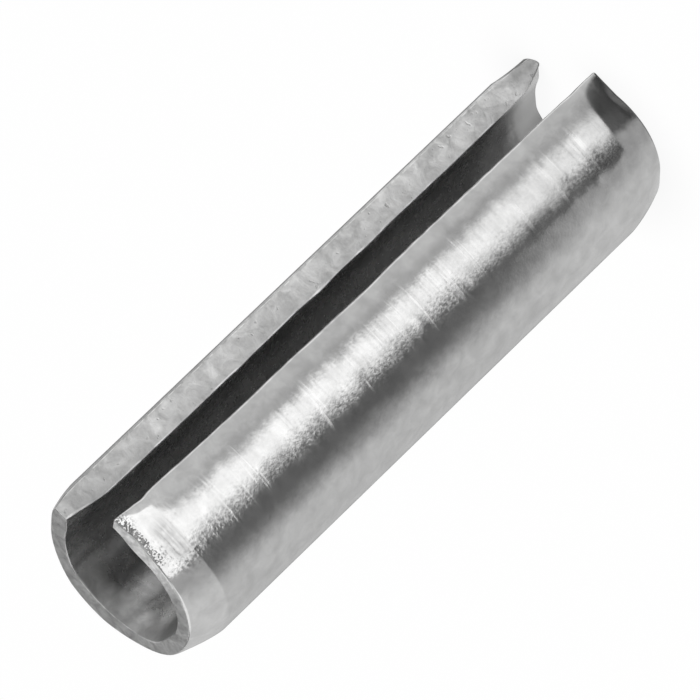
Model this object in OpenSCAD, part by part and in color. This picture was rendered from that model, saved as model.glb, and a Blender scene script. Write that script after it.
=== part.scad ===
// Slotted spring pin: one strip of spring steel rolled into an open tube.
// The pin stands on one end face, with its axis along +Z and the origin at
// the middle of that face. All sizes are in millimetres.

/* [Body] */
// Outside diameter of the free pin, before it is driven into its hole
pin_d = 8.65; // [6:0.05:14]
// Overall length, end face to end face
pin_l = 30; // [16:1:80]
// Thickness of the rolled strip
wall = 1.3; // [0.8:0.05:1.8]

/* [Slot] */
// Angle that the rolled strip leaves open
slot_angle = 61; // [20:1:90]
// Where the middle of the slot faces, turned from +X about the axis
slot_heading = -45; // [-180:5:180]
// Width of the small flat broken along the outer edge of each lip
lip_break = 0.09; // [0.04:0.01:0.15]

/* [Ends] */
// Length of the chamfer at each end, along the axis
chamfer_l = 1.8; // [1.2:0.05:2.2]
// How far the chamfer draws the outside in at the end face
chamfer_h = 0.46; // [0.3:0.01:0.5]
// How far the chamfer bulges beyond a straight cone
chamfer_bow = 0.05; // [0.02:0.01:0.06]
// Width of the small edge broken round the mouth of the bore at each end
mouth_break = 0.08; // [0.04:0.01:0.12]

/* [Hidden] */
$fn = 128;
pin_r = pin_d / 2;
bore_r = pin_r - wall;
// The strip runs from one lip round the back to the other lip.
first_lip = slot_heading + slot_angle / 2;
strip_angle = 360 - slot_angle;
// The chamfer's outline is an arc of radius bow_r over a chord from the end
// face to the body.
chord = sqrt(chamfer_l * chamfer_l + chamfer_h * chamfer_h);
bow_r = (chord * chord / 4 + chamfer_bow * chamfer_bow) / (2 * chamfer_bow);
bow_x = pin_r - chamfer_h / 2 - (bow_r - chamfer_bow) * chamfer_l / chord;
bow_y = chamfer_l / 2 + (bow_r - chamfer_bow) * chamfer_h / chord;

// What one end loses from the strip's section: the bowed chamfer outside and
// the broken edge round the mouth of the bore. X is the distance from the
// axis and Y the distance from the end face.
module end_loss() {
    difference() {
        translate([pin_r - chamfer_h - 0.2, -1])
            square([chamfer_h + 1.2, chamfer_l + 1.2]);
        translate([bow_x, bow_y])
            circle(r = bow_r, $fn = 512);
    }
    polygon([
        [bore_r - 1, -1],
        [bore_r + mouth_break + 1, -1],
        [bore_r - 1, mouth_break + 1]
    ]);
}

// Section of the strip along the axis, from end face to end face.
module strip_section() {
    difference() {
        translate([bore_r, 0])
            square([wall, pin_l]);
        end_loss();
        translate([0, pin_l])
            mirror([0, 1])
                end_loss();
    }
}

// The corner that is broken off one lip's outer edge, as a bar along the
// axis. The lip's face lies in the XZ plane and its metal is on the +Y side.
module lip_edge() {
    translate([pin_r, 0, -1])
        linear_extrude(height = pin_l + 2)
            polygon([
                [-lip_break - 1, -1],
                [1, -1],
                [1, lip_break + 1]
            ]);
}

module spring_pin() {
    color("silver")
        difference() {
            rotate([0, 0, first_lip])
                rotate_extrude(angle = strip_angle)
                    strip_section();
            rotate([0, 0, first_lip])
                lip_edge();
            rotate([0, 0, first_lip + strip_angle])
                mirror([0, 1, 0])
                    lip_edge();
        }
}

spring_pin();
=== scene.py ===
import math
import bpy
import numpy as np
from mathutils import Vector, Matrix


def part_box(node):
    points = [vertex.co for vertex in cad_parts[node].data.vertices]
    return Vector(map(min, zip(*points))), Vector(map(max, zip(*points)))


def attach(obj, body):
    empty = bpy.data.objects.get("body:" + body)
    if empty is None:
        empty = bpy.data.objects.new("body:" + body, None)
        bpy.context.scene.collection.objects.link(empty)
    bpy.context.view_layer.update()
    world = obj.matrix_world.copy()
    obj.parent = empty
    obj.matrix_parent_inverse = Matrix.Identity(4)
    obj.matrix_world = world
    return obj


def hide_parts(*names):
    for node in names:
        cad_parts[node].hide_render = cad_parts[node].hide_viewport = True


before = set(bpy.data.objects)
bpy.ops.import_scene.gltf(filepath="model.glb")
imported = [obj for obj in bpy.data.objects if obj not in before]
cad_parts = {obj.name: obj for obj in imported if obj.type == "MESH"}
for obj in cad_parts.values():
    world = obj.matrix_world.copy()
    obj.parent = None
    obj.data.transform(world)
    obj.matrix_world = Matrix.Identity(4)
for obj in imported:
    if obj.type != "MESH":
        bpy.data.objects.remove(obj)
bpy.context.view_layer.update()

lo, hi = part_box("spring_pin")
MM = 0.001

# The pin's own sizes, in millimetres, from the frame. It stands on its lower
# end with its axis up, and the slot faces HEADING.
L = (hi.z - lo.z) / MM
R = 4.325
AX = Vector(((lo.x + hi.x) / 2, (lo.y + hi.y) / 2, 0.0))
AX = Vector((round(AX.x, 5), round(AX.y, 5), lo.z))
HEADING = math.radians(-45.0)


# ---- shape block ------------------------------------------------------------
def _hash(ix, iy, iz, seed):
    h = (ix * 374761393 + iy * 668265263 + iz * 2147483647 + seed * 1274126177) & 0xFFFFFFFF
    h = ((h ^ (h >> 13)) * 1274126177) & 0xFFFFFFFF
    h = (h ^ (h >> 16)) & 0xFFFFFFFF
    return h.astype(np.float64) / 0xFFFFFFFF * 2 - 1


def noise3(x, y, z, seed=0):
    """Smooth noise between -1 and 1, with a period of about one unit."""
    x, y, z = np.broadcast_arrays(*(np.asarray(v, float) for v in (x, y, z)))
    fx, fy, fz = np.floor(x), np.floor(y), np.floor(z)
    ux, uy, uz = x - fx, y - fy, z - fz
    ux, uy, uz = (u * u * u * (u * (u * 6 - 15) + 10) for u in (ux, uy, uz))
    ix, iy, iz = (f.astype(np.int64) for f in (fx, fy, fz))
    out = 0
    for dx in (0, 1):
        for dy in (0, 1):
            for dz in (0, 1):
                w = (ux if dx else 1 - ux) * (uy if dy else 1 - uy) * (uz if dz else 1 - uz)
                out = out + w * _hash(ix + dx, iy + dy, iz + dz, seed)
    return out


def ease(x, a, b):
    """0 before a, 1 after b, smooth between."""
    t = np.clip((np.asarray(x, float) - a) / (b - a), 0, 1)
    return t * t * (3 - 2 * t)


def ramp01(x, a, b):
    return np.clip((np.asarray(x, float) - a) / (b - a), 0, 1)


def turn(th, centre, width):
    """A smooth swelling round the pin, centred on one angle (degrees)."""
    d = (np.asarray(th, float) - centre + 180) % 360 - 180
    return np.exp(-((d / width) ** 2))


# Angles are in degrees from the middle of the slot. The strip starts at the
# first lip (about +31), goes round the back and ends at the second (about -31).
BORE = 3.045


def lower_side(th):
    """The angle as a negative number near the second lip, -180 elsewhere."""
    t = (np.asarray(th, float) + 180) % 360 - 180
    return np.where(t > 0, -180.0, t)


def top_chamfer(th):
    """Length and depth of the upper chamfer. Both run out at the second lip."""
    t = lower_side(th)
    a = 1.66 + 0.22 * (1 - turn(th, -58, 50)) - 0.42 * turn(th, 31, 25) - 0.20 * turn(th, -60, 24)
    a = a * (0.05 + 0.52 * ramp01(-t, 27.0, 33.9) + 0.43 * ease(-t, 33.7, 35.8))
    rim = 3.84 + 0.24 * turn(th, 118, 26) + 0.06 * turn(th, 185, 22) - 0.15 * turn(th, 226, 32) + 0.24 * turn(th, 31, 13) + 0.14 * turn(th, 128, 40) + 0.05 * turn(th, 186, 20) + 0.025 * turn(th, -66, 18)
    drop = (R - rim) * ramp01(-t, 28.6, 49.35)
    return a, np.maximum(drop, (0.10 + 0.09 * turn(th, -35, 28)) * a)


def bottom_chamfer(th):
    t = lower_side(th)
    a = 1.50 + 0.55 * (1 - turn(th, -66, 48)) - 0.12 * turn(th, 31, 25) - 0.09 * turn(th, -48, 16) + 0.10 * turn(th, -66, 10)
    x = np.clip((t + 58.85) / 24.5, 0, 1)
    a = a * np.clip(1 - x * x, 0.0, 1) ** 0.3
    a = np.maximum(a, 0.08)
    rim = 3.80 + 0.33 * turn(th, -73, 38) + 0.33 * turn(th, 31, 15) + 0.06 * turn(th, 150, 60) - 0.08 * turn(th, -116, 22) - 0.04 * turn(th, -119, 8)
    drop = (R - rim) * ramp01(-t, 32.0, 50.5)
    return a, drop


def outer(th, z):
    """Radius of the outside: a shallow chamfer, then a steep narrow one at the very end."""
    top = z > L / 2
    d = np.minimum(z, L - z)
    at, dt = top_chamfer(th)
    ab, db = bottom_chamfer(th)
    a, drop = np.where(top, at, ab), np.where(top, dt, db)
    k = np.where(top, 0.82 - 0.47 * turn(th, 31, 38) - 0.55 * turn(th, -125, 32) + 0.17 * turn(th, -64, 20), 0.95 - 0.55 * (1 - turn(th, -66, 48)) + 1.5 * turn(th, 31, 20))
    s = 1 - np.clip(d / a, 0, 1)
    steep = np.where(top, turn(th, -37, 21) * (1 - ease(-lower_side(th), 49, 60)), turn(th, -52, 30))
    bevel = np.minimum(0.07 + np.where(top, 0.30, 0.42) * steep, 0.6 * a)
    share = np.where(top, 0.05 + 0.31 * steep, 0.08 + 0.24 * steep)
    fall = drop * (1 - share) * (k * s + (1 - k) * s * s)
    dip = np.where(top, np.maximum(drop * share, 0.12 * steep * ramp01(-lower_side(th), 29.0, 32.5)), drop * share)
    fall = fall + dip * (1 - np.clip(d / bevel, 0, 1)) ** 1.3
    # beside the second lip the body already leans in before the crease
    lean = ramp01(-lower_side(th), 31, 40) * np.where(top, 0.036 * turn(th, -51, 13) * np.exp(-np.maximum(d - a, 0) / 0.38), 0.02 * turn(th, -46, 19) * np.exp(-np.maximum(d - a, 0) / 0.6))
    return R - fall - lean


def bore(th, z):
    top = z > L / 2
    d = np.minimum(z, L - z)
    rt = 3.07 + 0.22 * turn(th, 177, 17) + 0.12 * turn(th, 92, 15) + 0.08 * turn(th, 265, 25) + 0.12 * turn(th, -60, 18) - 0.06 * turn(th, 205, 14) + 0.74 * turn(th, -24, 15) + 0.36 * turn(th, 26, 10)
    rb = 3.06 + 0.10 * turn(th, 81, 9) + 0.56 * turn(th, 20, 11) + 0.45 * turn(th, -28, 14)
    r_end = np.where(top, rt, rb)
    first = turn(th, 27, 14)
    s = 1 - np.clip(d / np.where(top, 1.9 + 0.4 * first, 1.7), 0, 1)
    burr = turn(th, 27, 4) * (0.022 * np.exp(-((z - 22.5) / 3.4) ** 2) + 0.052 * np.exp(-((z - 14.5) / 0.7) ** 2) + 0.040 * np.exp(-((z - 11.45) / 0.8) ** 2) + 0.022 * np.exp(-((z - 19.6) / 0.5) ** 2) - 0.016 * np.exp(-((z - 16.1) / 0.5) ** 2) + 0.02 * np.exp(-((z - 6.2) / 1.2) ** 2))
    return BORE + (r_end - BORE) * s ** (1.5 - np.where(top, 0.45 * first, 0)) - 0.05 * s ** 0.5 * (1 - s) - burr


def lips(z, w):
    """Angles of the two lips at height z and depth w (0 outside, 1 at the bore)."""
    a = 31.05 - 1.4 * ramp01(z, 24, 30) ** 2 + 1.0 * ramp01(-z, -4, 0)
    q = ramp01(-z, -2.2, 0) ** 1.3
    a = a - w * (1 - q) * (4.5 - 1.8 * ramp01(z, 26, 30)) - 10.9 * q * (1 - (1 - w) ** 2.8)
    b = -30.75 + 3.7 * ramp01(z, 18, 30) ** 2 - 2.0 * ramp01(-z, -8, 0) ** 1.2
    b = b - 0.9 * np.exp(-((z - 28.45) / 0.32) ** 2) + 0.3 * np.exp(-((z - 19.5) / 4.5) ** 2)
    b = b + 0.50 * ease(z, 17.6, 19.6) * (1 - 0.6 * ease(z, 28, 29)) + 0.30 * np.exp(-((z - 26.9) / 0.9) ** 2) - 0.42 * np.exp(-((z - 14.7) / 0.9) ** 2)
    b = b + 0.60 * np.exp(-((z - 11.8) / 1.5) ** 2) + 0.95 * (1 - ease(z, 3.5, 7.8))
    b = b + 2.0 * w * (1 - 0.6 * ramp01(z, 27, 30))
    a = a + 0.20 * noise3(z / 2.1, 0, 0, 3) + 0.12 * noise3(z / 0.6, 0, 0, 8) * (1 - 0.5 * w)
    b = b + 0.28 * noise3(z / 2.3, 0, 0, 4) + 0.16 * noise3(z / 0.55, 0, 0, 5)
    return a, b


def edge_radius(th, z, depth):
    """How far the edges are rounded: more where the shear rolled the lips over."""
    e = 0.055 + 0.012 * noise3(np.radians(th) * 3, z / 1.2, 0, 6)
    inner = ramp01(depth, 0.3, 0.7)
    lip = (0.125 * turn(th, 31, 5) + 0.085 * turn(th, -30, 5)) * ramp01(np.minimum(z, L - z), 0.1, 1.2)
    e = e + lip * (1 - inner)
    e = e + 0.05 * turn(th, -41, 14) * ramp01(-z, -0.6, -0.3) * (1 - inner)
    horn = turn(th, 29, 9) * np.clip(1 - z / 0.9, 0, 1)
    return e + 0.03 * horn


def cut(th):
    """How far the sheared upper end slopes down from the bore to the outside."""
    return 0.02 + 0.12 * turn(th, -41, 16)


def strip_point(s, z, w, span, thick):
    """A point of the rolled strip: s along it from the first lip, z up it, and
    w into it from the outside, all in millimetres."""
    depth = np.clip(w / thick, 0, 1)
    a, b = lips(z, depth)
    th = a + (360 + b - a) * s / span
    ro, ri = outer(th, z), bore(th, z)
    return ro + (ri - ro) * depth, th


SPAN = math.radians(360 - 61.8) * 3.7
# ---- end of the shape block -------------------------------------------------


def thickness(th, z):
    return outer(th, z) - bore(th, z)


def build_pin():
    E0 = 0.05
    c = [0.0, 0.4226, 0.732, 1.0]

    def marks(total, mids):
        """Grid marks: fractions of the edge radius at both sides, distances between."""
        m = [("lo", k) for k in c]
        m += [("mid", (x - E0) / (total - 2 * E0)) for x in mids]
        m += [("hi", k) for k in reversed(c)]
        return m

    near_a = [0.10, 0.16, 0.24, 0.34, 0.46, 0.60, 0.78, 0.98, 1.20]
    near_b = [0.10, 0.15, 0.20, 0.255, 0.31, 0.37, 0.43, 0.49, 0.56, 0.63, 0.71, 0.80, 0.90, 1.02, 1.16, 1.32, 1.50]
    mid = list(np.linspace(1.40, SPAN - 1.70, 82))
    s_marks = marks(SPAN, near_a + mid + [SPAN - x for x in reversed(near_b)])
    top = [0.09, 0.14, 0.20, 0.26, 0.33, 0.40, 0.48, 0.56, 0.64, 0.72, 0.80, 0.88, 0.96, 1.04, 1.12, 1.20, 1.28, 1.36, 1.44, 1.52, 1.60, 1.68, 1.76, 1.84, 1.93, 2.03, 2.15]
    low = [0.09, 0.14, 0.20, 0.27, 0.35, 0.44, 0.54, 0.65, 0.76, 0.87, 0.98, 1.09, 1.20, 1.30, 1.39, 1.46, 1.53, 1.60, 1.70, 1.82, 1.96, 2.12]
    z_marks = marks(L, low + list(np.linspace(2.27, L - 2.30, 156)) + [L - x for x in reversed(top)])
    w_marks = marks(1.0, list(np.linspace(0.05, 0.95, 14)[1:-1]))

    NS, NZ, NW = len(s_marks), len(z_marks), len(w_marks)
    kinds = {"lo": 0, "mid": 1, "hi": 2}
    table = []
    for ms in (s_marks, z_marks, w_marks):
        table.append((np.array([kinds[m[0]] for m in ms]), np.array([m[1] for m in ms])))

    def place(axis, idx, total, e):
        k, x = table[axis][0][idx], table[axis][1][idx]
        return np.where(k == 0, e * x, np.where(k == 2, total - e * x, e + (total - 2 * e) * x))

    def grid_points(si, zi, wi):
        s0, z0 = place(0, si, SPAN, E0), place(1, zi, L, E0)
        a, b = lips(z0, 0.5)
        th = a + (360 + b - a) * s0 / SPAN
        T = thickness(th, z0)
        e = np.minimum(edge_radius(th, z0, wi / (NW - 1)), T * 0.30)
        s, z, w = place(0, si, SPAN, e), place(1, zi, L, e), place(2, wi, T, e)
        p = np.stack([s, z, w], -1)
        low_, high_ = np.stack([e, e, e], -1), np.stack([SPAN - e, L - e, T - e], -1)
        q = np.clip(p, low_, high_)
        d = p - q
        n = np.linalg.norm(d, axis=-1)
        on = n > 1e-9
        k = np.where(on, e / np.maximum(n, 1e-9), 0)[..., None]
        p = np.where(on[..., None], q + d * k, p)
        m = np.sort(np.abs(d) / np.maximum(e[..., None], 1e-9), axis=-1)
        return p, T, m[..., 1]

    index, coords, edges = {}, [], []

    def add(si, zi, wi):
        key = ((si * NZ + zi) * NW + wi).ravel()
        p, T, edge = grid_points(si.ravel(), zi.ravel(), wi.ravel())
        ids = np.empty(key.size, int)
        for n, k in enumerate(key):
            k = int(k)
            if k not in index:
                index[k] = len(coords)
                coords.append((*p[n], T[n]))
                edges.append(edge[n])
            ids[n] = index[k]
        return ids.reshape(si.shape)

    faces, mats = [], []

    def sheet(si, zi, wi, mat, flip):
        ids = add(si, zi, wi)
        a, b, cc, dd = ids[:-1, :-1], ids[1:, :-1], ids[1:, 1:], ids[:-1, 1:]
        faces.append(np.stack([a, b, cc, dd] if not flip else [a, dd, cc, b], -1).reshape(-1, 4))
        mats.append(np.full(faces[-1].shape[0], mat))

    S, Z = np.meshgrid(np.arange(NS), np.arange(NZ), indexing="ij")
    sheet(S, Z, np.zeros_like(S), 0, False)               # outside
    sheet(S, Z, np.full_like(S, NW - 1), 2, True)         # bore
    S, W = np.meshgrid(np.arange(NS), np.arange(NW), indexing="ij")
    sheet(S, np.zeros_like(S), W, 3, True)                # lower end face
    sheet(S, np.full_like(S, NZ - 1), W, 3, False)        # upper end face
    Z, W = np.meshgrid(np.arange(NZ), np.arange(NW), indexing="ij")
    sheet(np.zeros_like(Z), Z, W, 1, False)               # first lip
    sheet(np.full_like(Z, NS - 1), Z, W, 1, True)         # second lip
    faces, mats = np.concatenate(faces), np.concatenate(mats)
    C = np.array(coords)
    edges = np.array(edges)
    s, z, w, T = C[:, 0], C[:, 1], C[:, 2], C[:, 3]
    rad, th = strip_point(s, z, w, SPAN, T)
    z = z - cut(th) * (1 - np.clip(w / T, 0, 1)) * ramp01(z, L - 0.9, L)

    # small unevenness left by the press and the shear
    face_s = np.exp(-(np.minimum(s, SPAN - s) / 0.09) ** 2)
    inside = np.clip(np.minimum(w, T - w) / 0.15, 0, 1)
    pits = noise3(z / 0.33, w / 0.30, s > 1, 21) + 0.6 * noise3(z / 0.16, w / 0.15, s > 1, 22)
    th = th + face_s * inside * pits * 0.10 * np.where(s > 1, -1, 1)
    face_o = np.clip(1 - w / 0.12, 0, 1)
    hoop = np.radians(th) * R
    waves = 0.0024 * noise3(hoop / 1.3, z / 1.7, 1, 31) + 0.0009 * noise3(hoop / 0.7, z / 0.5, 2, 32)
    rad = rad + face_o * waves * (0.45 + 0.55 * turn(th, -60, 75)) * np.clip(np.minimum(z, L - z) / 0.3, 0, 1)
    rad = np.minimum(rad, R)

    ang = np.radians(th) + HEADING
    XYZ = np.stack([rad * np.cos(ang), rad * np.sin(ang), z], 1)
    me = bpy.data.meshes.new("spring_pin_steel")
    me.from_pydata((XYZ * MM + np.array(AX)).tolist(), [], faces.tolist())
    me.polygons.foreach_set("material_index", mats)
    me.update()
    me.attributes.new("edge", "FLOAT", "POINT").data.foreach_set("value", edges.astype(np.float32))
    me.shade_smooth()
    ob = bpy.data.objects.new("spring_pin_steel", me)
    bpy.context.scene.collection.objects.link(ob)
    return ob


# ================================================================ node helpers
class Nodes:
    def __init__(self, tree):
        self.tree, self.n = tree, tree.nodes

    def new(self, kind, **values):
        node = self.n.new(kind)
        ins = values.pop("ins", {})
        for k, v in values.items():
            setattr(node, k, v)
        for k, v in ins.items():
            self.put(node.inputs[k], v)
        return node

    def put(self, socket, v):
        if isinstance(v, bpy.types.NodeSocket):
            self.tree.links.new(v, socket)
        else:
            socket.default_value = v

    def math(self, op, a, b=None, c=None, clamp=False):
        node = self.n.new("ShaderNodeMath")
        node.operation, node.use_clamp = op, clamp
        for i, v in enumerate((a, b, c)):
            if v is not None:
                self.put(node.inputs[i], v)
        return node.outputs[0]

    def add(self, *vals):
        out = vals[0]
        for v in vals[1:]:
            out = self.math("ADD", out, v)
        return out

    def mul(self, *vals):
        out = vals[0]
        for v in vals[1:]:
            out = self.math("MULTIPLY", out, v)
        return out

    def vmath(self, op, a, b=None, scale=None):
        node = self.n.new("ShaderNodeVectorMath")
        node.operation = op
        self.put(node.inputs[0], a)
        if b is not None:
            self.put(node.inputs[1], b)
        if scale is not None:
            self.put(node.inputs["Scale"], scale)
        return node.outputs["Value" if op in ("DOT_PRODUCT", "LENGTH") else 0]

    def xyz(self, x, y, z):
        node = self.n.new("ShaderNodeCombineXYZ")
        for i, v in enumerate((x, y, z)):
            self.put(node.inputs[i], v)
        return node.outputs[0]

    def noise(self, vector, scale, detail=2.0, rough=0.5, distortion=0.0):
        node = self.n.new("ShaderNodeTexNoise")
        node.noise_dimensions = "3D"
        self.put(node.inputs["Vector"], vector)
        node.inputs["Scale"].default_value = scale
        node.inputs["Detail"].default_value = detail
        node.inputs["Roughness"].default_value = rough
        node.inputs["Distortion"].default_value = distortion
        return node.outputs[0]

    def span(self, v, a, b, c=0.0, d=1.0, smooth=False):
        node = self.n.new("ShaderNodeMapRange")
        node.clamp = True
        node.interpolation_type = "SMOOTHSTEP" if smooth else "LINEAR"
        self.put(node.inputs[0], v)
        for i, x in enumerate((a, b, c, d)):
            self.put(node.inputs[i + 1], x)
        return node.outputs[0]

    def ease(self, v, a, b, c=0.0, d=1.0):
        return self.span(v, a, b, c, d, True)

    def window(self, v, a0, a1, b0, b1):
        """1 between a1 and b0, 0 outside a0 and b1, smooth between."""
        return self.mul(self.ease(v, a0, a1), self.ease(v, b0, b1, 1.0, 0.0))

    def lerp(self, f, a, b):
        return self.span(f, 0.0, 1.0, a, b)

    def mix(self, fac, a, b):
        node = self.n.new("ShaderNodeMix")
        node.data_type = "RGBA"
        self.put(node.inputs[0], fac)
        self.put(node.inputs[6], a)
        self.put(node.inputs[7], b)
        return node.outputs[2]


def grey(v):
    return (v, v, v * 0.995, 1.0)


class Steel(Nodes):
    """A steel surface with the pin's own coordinates, in millimetres."""

    def __init__(self, name):
        self.mat = bpy.data.materials.new(name)
        self.mat.use_nodes = True
        super().__init__(self.mat.node_tree)
        self.n.clear()
        coord = self.new("ShaderNodeTexCoord")
        self.mm = self.vmath("SCALE", coord.outputs["Object"], scale=1000.0)
        self.z = self.new("ShaderNodeSeparateXYZ", ins={0: self.mm}).outputs["Z"]
        back = self.vmath("DOT_PRODUCT", self.mm, (-math.cos(HEADING), -math.sin(HEADING), 0))
        side = self.vmath("DOT_PRODUCT", self.mm, (math.sin(HEADING), -math.cos(HEADING), 0))
        self.hoop = self.mul(self.math("ARCTAN2", side, back), R)
        tangent = self.vmath("NORMALIZE", self.vmath("CROSS_PRODUCT", (0, 0, 1), self.mm))
        self.tangent = self.new("ShaderNodeVectorTransform", vector_type="VECTOR", convert_from="OBJECT", convert_to="WORLD", ins={0: tangent}).outputs[0]
        self.normal = self.new("ShaderNodeNewGeometry").outputs["Normal"]
        # the angle round the pin, in degrees from the middle of the rubbed side
        self.face = self.math("SUBTRACT", self.mul(self.hoop, 180 / math.pi / R), 125.15)
        flat = self.vmath("MULTIPLY", self.mm, (1, 1, 0))
        self.radius = self.vmath("LENGTH", flat)
        self.edge = self.new("ShaderNodeAttribute", attribute_name="edge").outputs["Fac"]

    def along_hoop(self, per_hoop, per_z, offset=0.0, detail=1.0, rough=0.5):
        """Noise drawn out round the pin."""
        return self.noise(self.xyz(self.mul(self.hoop, per_hoop), self.mul(self.z, per_z), offset), 1.0, detail, rough)

    def done(self, colour, rough, height, distance, tilt=None, axial=None, metallic=1.0):
        bsdf = self.new("ShaderNodeBsdfPrincipled")
        bsdf.inputs["Metallic"].default_value = metallic
        bump = self.new("ShaderNodeBump")
        bump.inputs["Strength"].default_value = 1.0
        bump.inputs["Distance"].default_value = distance
        self.put(bump.inputs["Height"], height)
        if tilt is not None:
            push = self.vmath("ADD", self.vmath("SCALE", self.tangent, scale=tilt), self.xyz(0.0, 0.0, axial))
            self.put(bump.inputs["Normal"], self.vmath("NORMALIZE", self.vmath("ADD", self.normal, push)))
        self.put(bsdf.inputs["Base Color"], colour)
        self.put(bsdf.inputs["Roughness"], rough)
        self.put(bsdf.inputs["Normal"], bump.outputs[0])
        out = self.new("ShaderNodeOutputMaterial")
        self.tree.links.new(bsdf.outputs[0], out.inputs["Surface"])
        return self.mat


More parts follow.
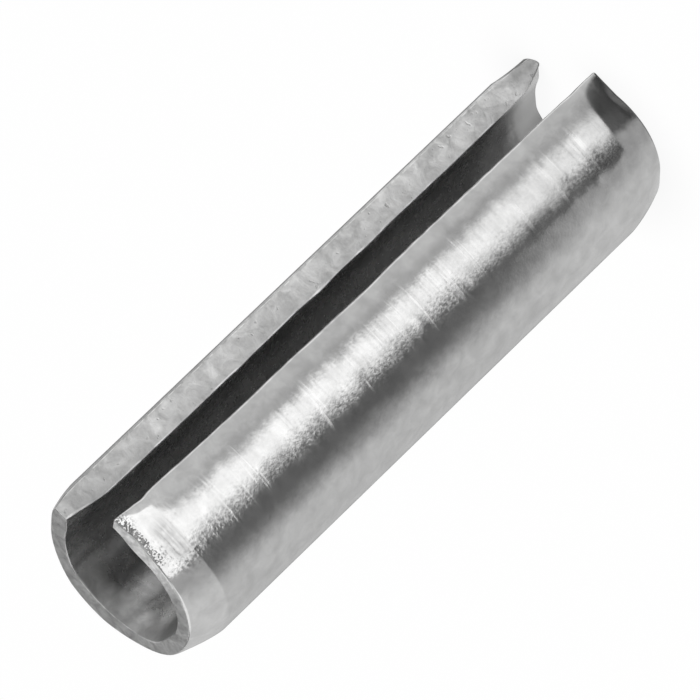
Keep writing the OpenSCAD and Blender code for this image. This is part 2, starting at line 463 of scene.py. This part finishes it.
def outside_material():
    t = Steel("rolled_steel_outside")
    # the rubbed strip beside the second lip carries more marks than the rest
    band = t.mul(t.window(t.face, -24, -16, 7, 15), t.ease(t.z, 1.35, 1.75, 0.05, 1.0), t.ease(t.z, 27.0, 28.6, 1.0, 0.9))
    rubbed_and_lit_strip = t.mul(band, t.ease(t.z, 5.0, 12.5, 0.40, 1.0))
    much = t.add(t.mul(rubbed_and_lit_strip, 0.97), t.mul(t.ease(t.z, 1.4, 3.0), 0.03))
    rim = t.mul(t.ease(t.z, L - 0.47, L - 0.38), t.window(t.face, -15, -2, 60, 70))
    where = t.ease(t.along_hoop(0.04, 0.62, 9.0), 0.44, 0.60)
    straight = t.span(t.along_hoop(0.03, 7.5, 2.0), 0.28, 0.72, -1.0, 1.0)
    lengths = t.ease(t.along_hoop(0.30, 2.4, 5.0), 0.44, 0.58)
    bold = t.mul(t.ease(t.along_hoop(0.05, 4.0, 14.0, 2.0), 0.54, 0.66), t.ease(t.along_hoop(0.02, 0.6, 4.0), 0.42, 0.54), t.ease(t.along_hoop(0.75, 2.2, 5.0), 0.40, 0.56))
    worm = t.span(t.noise(t.xyz(t.mul(t.hoop, 7.5), t.mul(t.z, 6.0), 3.0), 1.0, 1.5, 0.5, 0.2), 0.30, 0.70, -1.0, 1.0)
    worm2 = t.span(t.noise(t.xyz(t.mul(t.hoop, 7.0), t.mul(t.z, 6.0), 8.0), 1.0, 1.5, 0.5, 0.2), 0.30, 0.70, -1.0, 1.0)
    patch = t.noise(t.mm, 0.9, 3.0, 0.55, 0.6)
    worn = t.ease(t.z, 28.0, 28.4, 1.0, 1.9)
    calm = t.lerp(t.ease(t.z, 28.0, 28.3), t.ease(t.face, -2, 6, 1.0, 0.45), 1.0)
    round_ = t.mul(worm, t.lerp(where, 0.03, 0.05), worn, calm)
    axial = t.add(t.mul(straight, t.lerp(t.mul(where, lengths), 0.03, 0.09)), t.mul(bold, 0.03), t.mul(worm2, 0.03, worn, calm))
    round_ = t.add(t.mul(round_, t.add(much, t.mul(band, t.window(t.z, 1.6, 2.2, 3.8, 5.4), 0.5))), t.span(patch, 0.3, 0.7, -0.03, 0.03))
    # small flats and hollows along both sides of the strip
    def flats(rows):
        return t.add(*[t.mul(t.window(t.z, c - w, c - w * 0.1, c + w * 0.1, c + w), a) for c, w, a in rows])
    below = t.mul(t.window(t.face, -27, -21, -9, -3), flats([(18.5, 0.6, 0.042), (17.65, 0.4, -0.028), (16.65, 0.65, 0.044), (14.2, 0.22, 0.020), (13.88, 0.24, -0.055), (17.3, 0.25, 0.035), (16.68, 0.2, -0.03), (25.18, 0.3, -0.03), (23.82, 0.25, 0.03), (21.2, 0.3, 0.03), (11.05, 0.3, 0.03), (11.46, 0.2, -0.03), (14.6, 0.3, -0.03), (26.9, 0.5, -0.03), (6.2, 1.5, 0.012), (6.08, 0.3, -0.014), (4.7, 0.5, -0.026), (2.95, 0.6, -0.024), (1.5, 0.5, -0.024)]))
    above = t.mul(t.window(t.face, 1, 5, 12, 17), flats([(25.0, 0.9, -0.03), (22.6, 0.4, 0.045), (9.5, 0.5, -0.045), (7.85, 0.4, -0.045), (5.02, 0.25, 0.06)]))
    knee = t.add(t.mul(t.window(t.z, 26.8, 27.6, 28.3, 28.5), t.window(t.face, -4, 1, 9, 13), -0.030), t.mul(t.window(t.z, 27.85, 28.48, 28.48, 28.6), t.window(t.face, 4, 10, 14.5, 19.5), -0.13))
    mottle = t.span(t.noise(t.mm, 2.4, 3.0, 0.6, 0.5), 0.3, 0.7, -0.018, 0.018)
    round_ = t.add(round_, below, above, knee, mottle)
    # dull tool streaks round the upper chamfer, just above its crease
    tool = t.mul(t.window(t.z, 28.30, 28.48, 28.95, 29.45), t.window(t.face, -27, -20, 5, 14))
    lines = t.add(t.mul(t.along_hoop(0.45, 8.0, 6.0, 2.0), 0.65), t.mul(t.along_hoop(2.6, 5.0, 2.0, 2.0), 0.35))
    speck = t.noise(t.xyz(t.mul(t.hoop, 5.0), t.mul(t.z, 5.5), 7.0), 1.0, 2.5, 0.6)
    streak = t.span(t.lerp(t.ease(t.face, -16, -7), speck, lines), 0.36, 0.62, 0.52, 0.88)
    fleck = t.span(t.noise(t.xyz(t.mul(t.hoop, 11.0), t.mul(t.z, 11.0), 4.0), 1.0, 1.5, 0.5), 0.32, 0.68, -1.0, 1.0)
    rolled = t.mul(t.ease(t.z, L - 0.32, L - 0.16), t.window(t.face, -34, -26, -12, -5))
    axial = t.add(t.mul(axial, much), t.mul(rim, fleck, 0.50), t.mul(rolled, -0.17))
    crumb = t.noise(t.xyz(t.mul(t.hoop, 7.0), t.mul(t.z, 6.0), 1.0), 1.0, 2.0, 0.6)
    grain = t.add(t.noise(t.mm, 9.0, 1.5, 0.55), t.mul(crumb, much, t.ease(t.face, -8, 0, 5.5, 1.2)))
    cloud = t.noise(t.mm, 1.3, 3.0, 0.55, 0.4)
    colour = t.mix(t.span(cloud, 0.3, 0.7), grey(0.59), grey(0.73))
    scratch = t.mul(bold, band, t.ease(t.z, 27.6, 28.2, 1.0, 0.2), t.ease(t.z, 6.0, 12.0, 0.75, 1.0))
    colour = t.mix(t.mul(scratch, 0.52), colour, grey(0.96))
    # painted highlight: a streaky patch in the middle of the rubbed side, about 3 mm up, is made lighter
    painted_highlight_spot = t.mul(t.window(t.z, 2.7, 3.0, 3.25, 3.6), t.window(t.face, -8, -2, 2, 8), t.ease(t.along_hoop(0.4, 5.0, 3.0, 2.0), 0.40, 0.56, 0.3, 1.0))
    colour = t.mix(t.mul(painted_highlight_spot, 0.7), colour, grey(0.95))
    # painted shade: a dark blot just above the lower crease, a little round from the middle of the rubbed side away
    # from the second lip, darkens the colour
    painted_shade_blot = t.mul(t.window(t.face, -25, -20, -13, -8), t.window(t.z, 1.3, 1.8, 3.3, 4.0), t.ease(fleck, -0.7, 0.5, 0.25, 0.75))
    colour = t.mix(t.mul(painted_shade_blot, 0.62), colour, grey(0.16))
    fret = t.mul(t.ease(fleck, -0.15, 0.35), t.window(t.face, 15, 20, 60, 70), t.ease(t.z, 29.2, 29.6))
    colour = t.mix(t.mul(fret, 0.5), colour, grey(0.22))
    nick = t.mul(t.edge, t.ease(t.face, 15, 20), t.ease(t.noise(t.mm, 1.7, 2.0, 0.55), 0.44, 0.60), t.ease(t.z, 29.2, 29.0))
    colour = t.mix(t.mul(nick, 0.55), colour, grey(0.25))
    colour = t.mix(t.mul(tool, t.math("SUBTRACT", 1.0, streak)), colour, grey(0.02))
    rough = t.add(t.span(patch, 0.3, 0.7, 0.15, 0.19), t.mul(scratch, 0.13), t.mul(rim, 0.05))
    return t.done(colour, rough, grain, 0.0000015, round_, axial)


def lip_material():
    t = Steel("sheared_lip_face")
    fine = t.noise(t.mm, 6.0, 3.0, 0.6)
    soft = t.noise(t.mm, 1.5, 4.0, 0.55, 0.7)
    pit = t.ease(t.noise(t.mm, 3.0, 2.0, 0.5), 0.64, 0.74)
    tone = t.add(t.span(soft, 0.34, 0.66, 0.45, 0.67), t.mul(t.math("SUBTRACT", fine, 0.5), 0.18), t.mul(pit, -0.14))
    # painted shade: the tone is made darker toward the bore and toward the upper end; it is also lighter toward the
    # lower end and darker at its very end
    tone = t.mul(tone, t.span(t.radius, 3.2, 4.2, 0.87, 1.12), t.ease(t.z, 24.0, 28.4, 1.0, 0.80), t.span(t.z, 3.0, 22.0, 1.30, 1.0), t.ease(t.z, 0.5, 2.2, 0.52, 1.0))
    rolled = t.ease(t.radius, 3.95, 4.05)
    line = t.mul(rolled, t.window(t.edge, 0.02, 0.15, 0.22, 0.40))
    dull = t.mul(rolled, t.ease(t.edge, 0.25, 0.50))
    # painted highlight: broken bright flecks along the rounded edge by the bore, reaching further out near the upper
    # end
    bright = t.mul(t.edge, t.ease(t.math("SUBTRACT", t.radius, t.ease(t.z, 25.5, 30.0, 0.0, 0.62)), 3.3, 3.5, 1.0, 0.0), t.ease(t.noise(t.mm, 1.3, 2.0, 0.5), 0.38, 0.60, 0.15, 1.0))
    # painted highlight: bright flecks on the rounded edges at the upper end corner
    corner = t.mul(t.edge, t.ease(t.z, L - 0.35, L - 0.15), t.ease(t.noise(t.mm, 2.4, 2.0, 0.5), 0.36, 0.60))
    # painted highlight: a broken bright line along the lip face beside the bore, wider near the upper end
    bore_edge_highlight_paint = t.mul(t.ease(t.math("SUBTRACT", t.radius, t.ease(t.z, 27.7, 30.0, 0.0, 0.38)), 3.07, 3.15, 1.0, 0.0), t.add(t.ease(t.noise(t.mm, 0.9, 2.0, 0.5), 0.44, 0.62, 0.05, 0.7), t.ease(t.z, 27.0, 28.2, 0.0, 0.12)), t.ease(t.z, 2.0, 4.0))
    tone = t.add(tone, t.mul(bore_edge_highlight_paint, 0.62), t.mul(line, t.ease(t.noise(t.mm, 2.0, 2.0, 0.5), 0.40, 0.60, -0.12, 0.24)), t.mul(dull, -0.16), t.mul(bright, 0.55), t.mul(corner, 0.45))
    tone = t.add(tone, t.mul(t.window(t.radius, 3.3, 3.5, 4.03, 4.2), t.add(t.window(t.z, 22.85, 23.2, 23.45, 23.7), t.mul(t.window(t.z, 23.9, 24.15, 24.35, 24.6), 0.8), t.mul(t.window(t.z, 20.35, 20.6, 20.75, 21.0), 0.7)), 0.17), t.mul(t.ease(t.radius, 3.35, 3.55, 1.0, 0.0), t.window(t.z, 17.6, 17.85, 18.0, 18.25), -0.13))
    colour = t.new("ShaderNodeCombineColor", ins={0: tone, 1: tone, 2: t.mul(tone, 0.995)}).outputs[0]
    h = t.add(t.mul(fine, 0.5), t.mul(soft, 2.4), t.mul(pit, -1.0))
    rough = t.span(soft, 0.3, 0.7, 0.38, 0.50)
    return t.done(colour, rough, h, 0.000010)


def bore_material():
    t = Steel("bore")
    fine = t.noise(t.mm, 2.2, 3.0, 0.6)
    blot = t.noise(t.mm, 0.55, 3.0, 0.6)
    h = t.add(t.mul(fine, t.ease(t.z, 24.0, 28.0, 0.5, 0.15)), t.mul(blot, 2.0))
    # painted light: near the upper mouth, on its far side, the tone is raised a little; it is also rougher there
    mouth = t.mul(t.ease(t.z, 28.4, 30.0), t.window(t.face, -215, -185, -95, -65))
    # painted shade: a patch of bore below the upper mouth is made darker
    painted_bore_shade = t.mul(t.window(t.z, 25.0, 28.5, 29.0, 29.8), t.window(t.face, -222, -214, -206, -188))
    # painted light: two patches of bore by the upper mouth are made lighter; shade is a painted shade band between
    # them
    pale = t.add(t.mul(t.window(t.face, -250, -236, -224, -214), t.ease(t.z, 27.6, 30.0), 0.40), t.mul(t.window(t.face, -152, -144, -132, -116), t.window(t.z, 27.2, 28.2, 28.9, 29.7), 1.0))
    shade = t.mul(t.window(t.face, -176, -168, -155, -147), t.ease(t.z, 27.6, 28.6), 0.20)
    tone = t.add(0.39, t.mul(t.span(blot, 0.35, 0.65), 0.11), t.mul(mouth, 0.03))
    tone = t.mul(tone, t.ease(t.z, 2.4, 5.6, 0.52, 1.04), t.ease(t.z, 7.2, 9.6, 1.0, 0.90), t.lerp(painted_bore_shade, 1.0, 0.80), t.math("SUBTRACT", t.math("ADD", 1.0, pale), shade))
    tone = t.mul(tone, t.lerp(t.ease(t.z, 25.0, 28.0), 1.0, t.span(t.noise(t.mm, 1.5, 4.0, 0.62, 0.9), 0.32, 0.68, 0.84, 1.17)))
    # painted light: the bore just inside the first lip, seen through the slot, is made up to 2.2 times lighter, and a
    # little lighter toward that lip
    rubbed_and_lit_strip = t.mul(t.window(t.face, -295, -285, t.span(blot, 0.3, 0.7, -264.0, -259.0), -248), t.window(t.z, 3.0, 5.0, 25.5, 27.5))
    tone = t.mul(tone, t.lerp(rubbed_and_lit_strip, 1.0, 2.2), t.ease(t.face, -262, -225, 1.10, 1.0))
    # painted light: at the break at the lower mouth the bore is made lighter, most beside the first lip, where light
    # falls in at the open end; it is also rougher there
    by_lip = t.window(t.face, -290, -282, -266, -252)
    lit_lower_mouth = t.ease(t.add(t.z, t.span(fine, 0.2, 0.8, -0.25, 0.25), t.mul(by_lip, -0.70)), 1.3, 2.2, 1.0, 0.0)
    tone = t.lerp(lit_lower_mouth, tone, t.mul(t.span(blot, 0.3, 0.7, 0.48, 0.60), t.lerp(by_lip, 1.0, 1.36)))
    colour = t.new("ShaderNodeCombineColor", ins={0: tone, 1: tone, 2: t.mul(tone, 0.995)}).outputs[0]
    rough = t.add(t.span(fine, 0.3, 0.7, 0.23, 0.30), t.mul(mouth, 0.18), t.mul(lit_lower_mouth, 0.12))
    return t.done(colour, rough, h, 0.000014, metallic=0.94)


def end_material():
    t = Steel("end_face")
    fine = t.noise(t.mm, 7.0, 3.0, 0.6)
    blot = t.noise(t.mm, 1.8, 3.0, 0.6, 0.8)
    pit = t.ease(t.noise(t.mm, 4.2, 2.0, 0.55), 0.62, 0.74)
    tone = t.add(t.span(blot, 0.35, 0.65, 0.38, 0.62), t.mul(t.math("SUBTRACT", fine, 0.5), 0.46), t.mul(pit, -0.14))
    burnish = t.mul(t.edge, t.ease(t.noise(t.mm, 1.1, 2.0, 0.5), 0.35, 0.65, -0.20, 0.40))
    # painted highlight: bright flecks on the inner rounded edge of the end face, round the back
    inner = t.mul(t.edge, t.ease(t.radius, 3.5, 3.7, 1.0, 0.0), t.window(t.face, -212, -200, -150, -132), t.ease(fine, 0.3, 0.6))
    # painted highlight: a short stretch of the outer rounded edge of the end face, in front, is made lighter; its
    # normals are also tilted
    outer_ = t.mul(t.edge, t.ease(t.radius, 3.55, 3.7), t.window(t.face, -34, -24, -8, 2))
    tone = t.mul(t.add(tone, burnish, t.mul(inner, 0.55), t.mul(outer_, 0.5)), t.lerp(t.window(t.face, -34, -18, 24, 40), 0.68, 1.10))
    colour = t.new("ShaderNodeCombineColor", ins={0: tone, 1: tone, 2: t.mul(tone, 0.995)}).outputs[0]
    h = t.add(fine, t.mul(blot, 1.6), t.mul(pit, -0.8))
    rough = t.span(fine, 0.3, 0.7, 0.34, 0.48)
    return t.done(colour, rough, h, 0.000013, 0.0, t.mul(outer_, -0.35))


pin = build_pin()
for m in (outside_material(), lip_material(), bore_material(), end_material()):
    pin.data.materials.append(m)
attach(pin, "root")
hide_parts("spring_pin")

# ================================================================ the floor
PALE = 0.995
fm = bpy.data.meshes.new("floor")
F = 3.0
fm.from_pydata([(-F, -F, lo.z), (F, -F, lo.z), (F, F, lo.z), (-F, F, lo.z)], [], [(0, 1, 2, 3)])
floor = bpy.data.objects.new("floor", fm)
bpy.context.scene.collection.objects.link(floor)
mat = bpy.data.materials.new("pale_paper")
mat.use_nodes = True
mat.node_tree.nodes.clear()
t = Nodes(mat.node_tree)
# painted shadow: the floor glows evenly pale, and the ambient occlusion node paints a faint contact shadow round the
# pin's foot
ao = t.new("ShaderNodeAmbientOcclusion", samples=8)
ao.inputs["Distance"].default_value = 0.0025
level = t.span(ao.outputs["AO"], 0.35, 0.97, 0.93, PALE)
emit = t.new("ShaderNodeEmission", ins={"Color": level, "Strength": 1.0})
out = t.new("ShaderNodeOutputMaterial")
t.tree.links.new(emit.outputs[0], out.inputs["Surface"])
fm.materials.append(mat)
floor.visible_glossy = False
floor.visible_diffuse = False
floor.visible_shadow = False

# ================================================================ the camera
AZ = HEADING - math.radians(54.85)           # the camera's bearing from the pin
EL = math.radians(24.9485)
ROLL = math.radians(226.1254)
DIST = 419.6
SCALE = 24.008                               # pixels to a millimetre at the pin's middle
CX, CY = 358.93, 352.37                      # where the pin's middle falls in the picture
e1 = Vector((math.cos(AZ), math.sin(AZ), 0))
V = e1 * math.cos(EL) + Vector((0, 0, math.sin(EL)))
up = -e1 * math.sin(EL) + Vector((0, 0, math.cos(EL)))
right = up.cross(V)
xr = right * math.cos(ROLL) + up * math.sin(ROLL)
yr = -right * math.sin(ROLL) + up * math.cos(ROLL)
cam = bpy.data.cameras.new("camera")
cam.type = "PERSP"
cam.sensor_fit = "HORIZONTAL"
cam.sensor_width = 36.0
cam.lens = SCALE * DIST / 700 * 36.0
cam.clip_start, cam.clip_end = 0.01, 100.0
co = bpy.data.objects.new("camera", cam)
bpy.context.scene.collection.objects.link(co)
centre = AX + Vector((0, 0, L / 2 * MM))
off = xr * (-(CX - 349.5) / SCALE) + yr * ((CY - 349.5) / SCALE)
M = Matrix((xr, yr, V)).transposed().to_4x4()
M.translation = centre + (V * DIST + off) * MM
co.matrix_world = M
bpy.context.scene.camera = co

# ================================================================ the light
# A round tent of soft panels stands about the pin. It is seen only in the
# steel: a bright strip in front, a dark gap beside it, and pale walls.
TENT = 70.0


def tent_light(t, bearing, h):
    """Brightness of the tent at a bearing from the camera (degrees) and a height (mm)."""
    low_down = t.ease(h, -28.5, -23, 1.0, 0.0)
    # the wall on the left, with the dark gap and a paler panel low in it
    gap = t.mul(t.ease(bearing, -96, -50), t.ease(bearing, 4, 8, 1.0, 0.0))
    gap2 = t.mul(t.add(t.mul(t.ease(bearing, -92, -50), 0.31), t.mul(t.ease(bearing, -48, -43), 0.69)), t.ease(bearing, 4, 8, 1.0, 0.0))
    left = t.add(t.lerp(low_down, 0.66, 0.70), t.lerp(low_down, t.mul(gap, -0.54), t.mul(gap2, -0.60)), t.ease(bearing, -150, -100, -0.06, 0.0))
    right = t.add(t.lerp(low_down, 0.45, 0.50), t.ease(bearing, 20, 34, 0.0, 0.21))
    wall = t.lerp(t.ease(bearing, -6, 6), left, right)
    edge = t.math("ADD", bearing, t.lerp(low_down, 0.0, 1.0))
    edge = t.add(edge, t.ease(h, -14, -4, 0.0, -2.5))
    strip = t.mul(t.ease(edge, -38, -7), t.ease(t.add(edge, t.ease(h, -5.5, -2.5, 0.0, 2.5)), t.lerp(low_down, 4.0, 0.0), t.lerp(low_down, 20.0, 23.0), 1.0, 0.0))
    wall = t.lerp(strip, wall, t.lerp(t.ease(h, -30, -4), 1.17, 1.42))
    wall = t.add(wall, t.mul(t.window(bearing, 58, 74, 92, 106), 0.45))
    wall = t.lerp(t.add(t.ease(bearing, 104, 118), t.ease(bearing, -178, -150, 1.0, 0.0)), wall, 0.30)
    low = t.lerp(t.window(bearing, -34, -20, 40, 52), t.add(0.47, t.ease(bearing, -92, -54, 0.19, 0.0), t.ease(bearing, 40, 50, 0.0, 0.19)), 0.05)
    low = t.lerp(t.ease(h, -112, -92), 0.20, low)
    aside = t.add(0.45, t.ease(bearing, -82, -52, 0.31, 0.0), t.ease(bearing, -150, -118, -0.08, 0.0), t.ease(bearing, 40, 50, 0.0, 0.17))
    high = t.lerp(t.window(bearing, -40, -31, 46, 52), aside, 1.45)
    back = t.ease(t.math("ABSOLUTE", bearing), 132, 146)
    crown = t.lerp(t.window(bearing, -62, -36, 60, 90), 1.1, 0.24)
    crown = t.lerp(back, crown, t.lerp(t.window(h, 70, 84, 112, 128), 0.20, 1.8))
    out = t.lerp(t.ease(h, -45, -36.5), low, wall)
    out = t.lerp(t.ease(h, 0, 11), out, high)
    out = t.lerp(t.ease(h, 46, 54), out, crown)
    out = t.lerp(t.ease(h, 112, 130), out, 0.45)
    return out


def bearings(t, vector):
    d1 = t.vmath("DOT_PRODUCT", vector, (math.cos(AZ), math.sin(AZ), 0))
    d2 = t.vmath("DOT_PRODUCT", vector, (-math.sin(AZ), math.cos(AZ), 0))
    return t.mul(t.math("ARCTAN2", d2, d1), 180 / math.pi)


n = 96
ring = [(TENT * math.cos(2 * math.pi * i / n), TENT * math.sin(2 * math.pi * i / n)) for i in range(n)]
tv = [(x * MM, y * MM, z * MM) for z in (-150.0, 160.0) for x, y in ring]
tf = [(i, n + i, n + (i + 1) % n, (i + 1) % n) for i in range(n)]
tm = bpy.data.meshes.new("tent")
tm.from_pydata(tv, [], tf)
tent = bpy.data.objects.new("tent", tm)
bpy.context.scene.collection.objects.link(tent)
mat = bpy.data.materials.new("tent_panels")
mat.use_nodes = True
mat.node_tree.nodes.clear()
t = Nodes(mat.node_tree)
obj = t.vmath("SCALE", t.new("ShaderNodeTexCoord").outputs["Object"], scale=1000.0)
height = t.new("ShaderNodeSeparateXYZ", ins={0: obj}).outputs["Z"]
emit = t.new("ShaderNodeEmission", ins={"Color": tent_light(t, bearings(t, obj), height), "Strength": 1.0})
out = t.new("ShaderNodeOutputMaterial")
t.tree.links.new(emit.outputs[0], out.inputs["Surface"])
tm.materials.append(mat)
mat.cycles.emission_sampling = "NONE"
tent.visible_camera = False
tent.visible_shadow = False

world = bpy.data.worlds.new("studio")
bpy.context.scene.world = world
world.use_nodes = True
world.node_tree.nodes.clear()
t = Nodes(world.node_tree)
zz = t.new("ShaderNodeSeparateXYZ", ins={0: t.new("ShaderNodeTexCoord").outputs["Generated"]}).outputs["Z"]
soft = t.add(t.ease(zz, -0.93, -0.88, 0.08, 0.45), t.ease(zz, -0.3, 0.3, 0.0, 0.10))
around = t.new("ShaderNodeBackground", ins={"Color": soft, "Strength": 1.0})
plain = t.new("ShaderNodeBackground", ins={"Color": (PALE, PALE, PALE, 1), "Strength": 1.0})
mixs = t.new("ShaderNodeMixShader", ins={0: t.new("ShaderNodeLightPath").outputs["Is Camera Ray"]})
t.tree.links.new(around.outputs[0], mixs.inputs[1])
t.tree.links.new(plain.outputs[0], mixs.inputs[2])
out = t.new("ShaderNodeOutputWorld")
t.tree.links.new(mixs.outputs[0], out.inputs["Surface"])

scene = bpy.context.scene
scene.view_settings.view_transform = "Standard"
scene.view_settings.look = "None"
scene.view_settings.exposure = 0.0
scene.view_settings.gamma = 1.0
